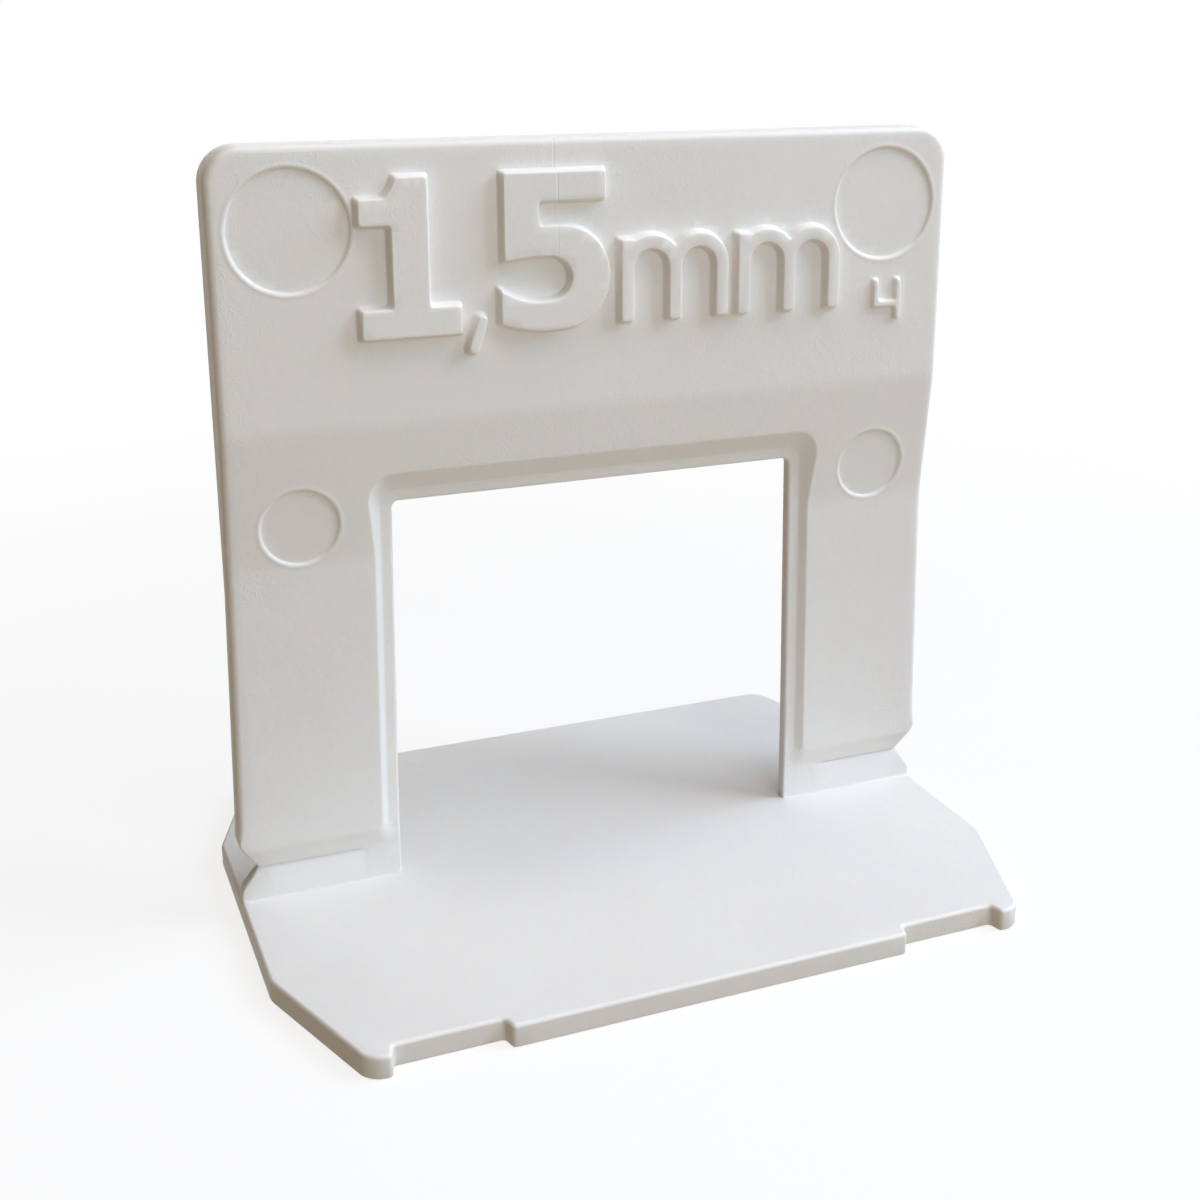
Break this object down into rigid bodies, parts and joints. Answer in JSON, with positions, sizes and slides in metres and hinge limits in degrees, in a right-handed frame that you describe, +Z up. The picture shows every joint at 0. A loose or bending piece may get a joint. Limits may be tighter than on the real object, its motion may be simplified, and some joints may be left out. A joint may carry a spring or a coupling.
{
  "type": "tile levelling clip",
  "caption": "One-piece moulded clip that levels floor tiles: a flat base goes under them, and an upright with a wedge window snaps off at its neck.",
  "frame": {"origin": "middle of the base's underside", "axes": "+X along the upright's width, -Y towards its marked face, +Z up"},
  "size_m": [0.0404, 0.0306, 0.0402],
  "materials": {
    "off_white_plastic": "matt off-white moulding, slightly uneven, with a soft satin sheen"
  },
  "bodies": {
    "root": {"levelling_clip": "off_white_plastic"}
  },
  "joints": []
}
